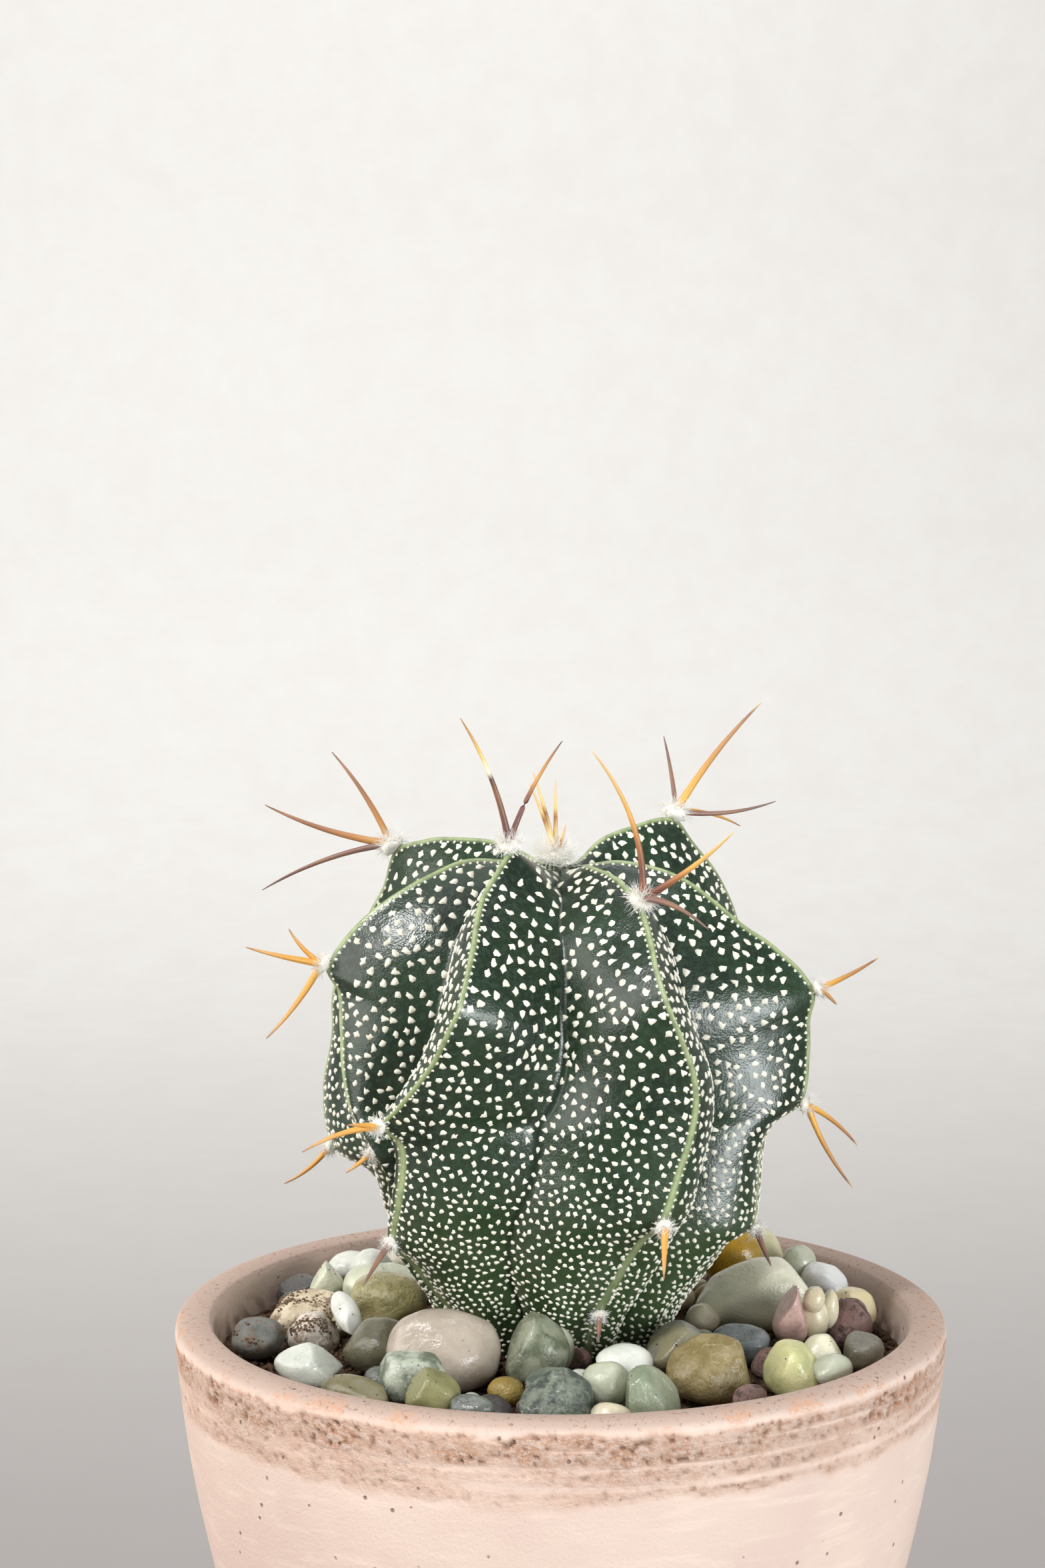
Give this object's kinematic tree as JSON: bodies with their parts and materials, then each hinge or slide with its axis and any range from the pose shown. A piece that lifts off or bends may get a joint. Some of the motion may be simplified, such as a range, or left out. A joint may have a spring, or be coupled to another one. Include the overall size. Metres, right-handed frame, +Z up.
{
  "type": "potted round cactus",
  "caption": "Round ribbed cactus flecked with white, with curved spines on woolly cushions, growing in soil topped with river pebbles in a round tapered clay pot.",
  "frame": {"origin": "centre of the pot's resting face", "axes": "+Z up through the plant, -Y towards the viewer of the reference view, +X to its right"},
  "size_m": [0.09, 0.09, 0.1507],
  "materials": {
    "terracotta": "matte",
    "soil": "matte",
    "cactus_skin": "satin",
    "spines": "satin",
    "wool": "matte",
    "pebble_jade": "satin",
    "pebble_pale": "satin",
    "pebble_olive": "satin",
    "pebble_dark": "gloss",
    "pebble_cream": "satin",
    "pebble_amber": "gloss",
    "pebble_rust": "matte"
  },
  "bodies": {
    "root": {"cactus_body": "cactus_skin", "areole_front_left_top": "spines", "areole_front_left_middle": "spines", "areole_front_left_low": "spines", "areole_front_right_top": "spines", "areole_front_right_middle": "spines", "areole_front_right_low": "spines", "areole_right_top": "spines", "areole_right_middle": "spines", "areole_right_low": "spines", "areole_back_right_top": "spines", "areole_back_right_middle": "spines", "areole_back_right_low": "spines", "areole_back_top": "spines", "areole_back_middle": "spines", "areole_back_left_top": "spines", "areole_back_left_middle": "spines", "areole_left_top": "spines", "areole_left_middle": "spines", "crown_wool": "wool", "terracotta_pot": "terracotta", "potting_soil": "soil", "pebble_01": "pebble_cream", "pebble_02": "pebble_olive", "pebble_03": "pebble_olive", "pebble_04": "pebble_jade", "pebble_05": "pebble_dark", "pebble_06": "pebble_dark", "pebble_07": "pebble_cream", "pebble_08": "pebble_pale", "pebble_09": "pebble_dark", "pebble_10": "pebble_jade", "pebble_11": "pebble_pale", "pebble_12": "pebble_olive", "pebble_13": "pebble_dark", "pebble_14": "pebble_olive", "pebble_15": "pebble_pale", "pebble_16": "pebble_jade", "pebble_17": "pebble_dark", "pebble_18": "pebble_dark", "pebble_19": "pebble_dark", "pebble_20": "pebble_olive", "pebble_21": "pebble_jade", "pebble_22": "pebble_amber", "pebble_23": "pebble_dark", "pebble_24": "pebble_pale", "pebble_25": "pebble_amber", "pebble_26": "pebble_jade", "pebble_27": "pebble_rust", "pebble_28": "pebble_jade", "pebble_29": "pebble_cream", "pebble_30": "pebble_rust", "pebble_31": "pebble_pale", "pebble_32": "pebble_cream", "pebble_33": "pebble_dark", "pebble_34": "pebble_jade", "pebble_35": "pebble_pale", "pebble_36": "pebble_dark", "pebble_37": "pebble_olive", "pebble_38": "pebble_dark"}
  },
  "joints": []
}
